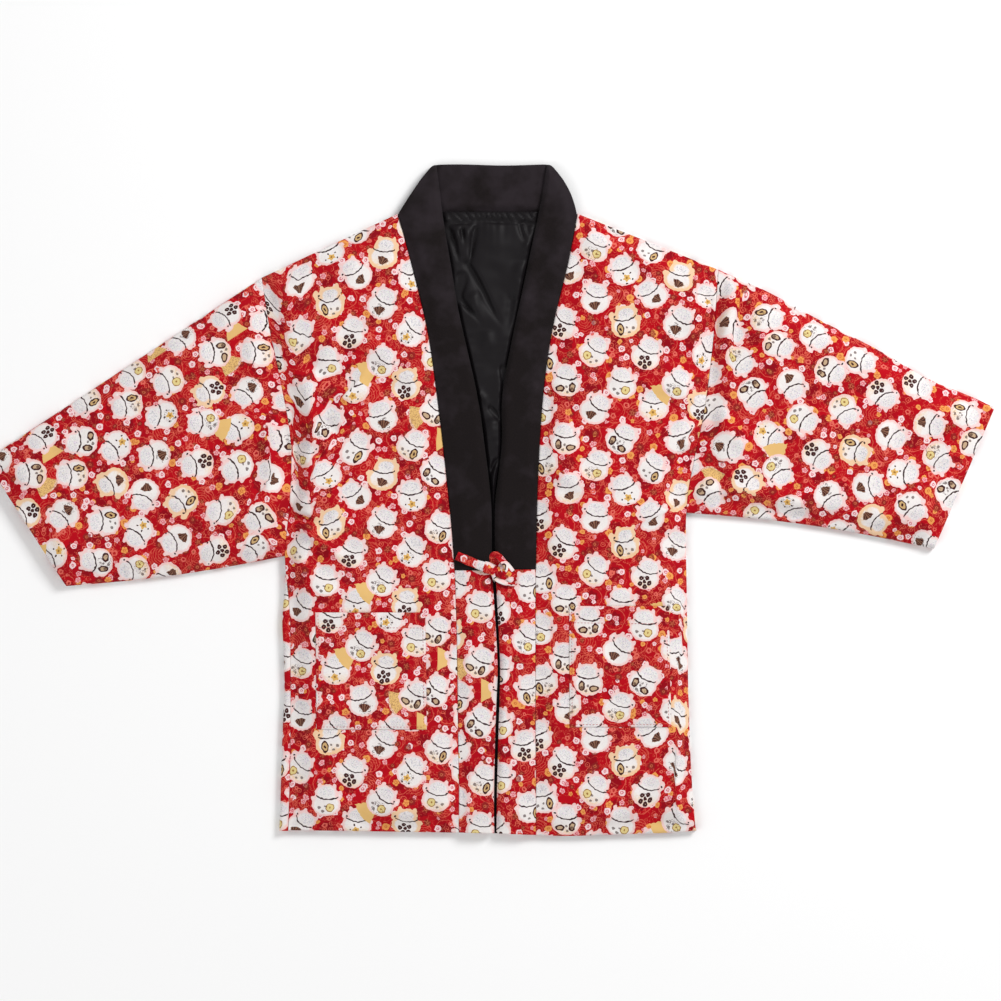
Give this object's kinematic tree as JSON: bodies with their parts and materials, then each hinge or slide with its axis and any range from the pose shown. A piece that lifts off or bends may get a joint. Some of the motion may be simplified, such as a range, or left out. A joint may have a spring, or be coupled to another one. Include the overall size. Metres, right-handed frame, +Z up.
{
  "type": "hanten jacket",
  "caption": "Wadded short coat laid flat on its back, fronts closed and tied, wide open sleeves, long shawl-like collar band, patch pockets on the lower fronts.",
  "frame": {"origin": "under the middle of the jacket, on the surface that it lies on", "axes": "+X towards the cuff of the wearer's left sleeve, +Y towards the collar, +Z up off the surface, the way the fronts face"},
  "size_m": [1.26, 0.84, 0.0294],
  "materials": {
    "printed_cotton": "matte printed cotton over light wadding",
    "black_cotton": "matte plain-woven cotton",
    "lining": "smooth lining with a low sheen"
  },
  "bodies": {
    "root": {"back": "printed_cotton", "side_gusset_right": "printed_cotton", "front_right": "printed_cotton", "pocket_right": "printed_cotton", "front_left": "printed_cotton", "pocket_left": "printed_cotton", "sleeve_right": "printed_cotton", "sleeve_left": "printed_cotton", "lining": "lining", "collar_back": "black_cotton", "collar_right": "black_cotton", "band_right": "printed_cotton", "collar_left": "black_cotton", "band_left": "printed_cotton", "tie_knot": "printed_cotton", "tie_end_right": "printed_cotton", "tie_loop": "printed_cotton", "tie_end_left": "printed_cotton"}
  },
  "joints": []
}
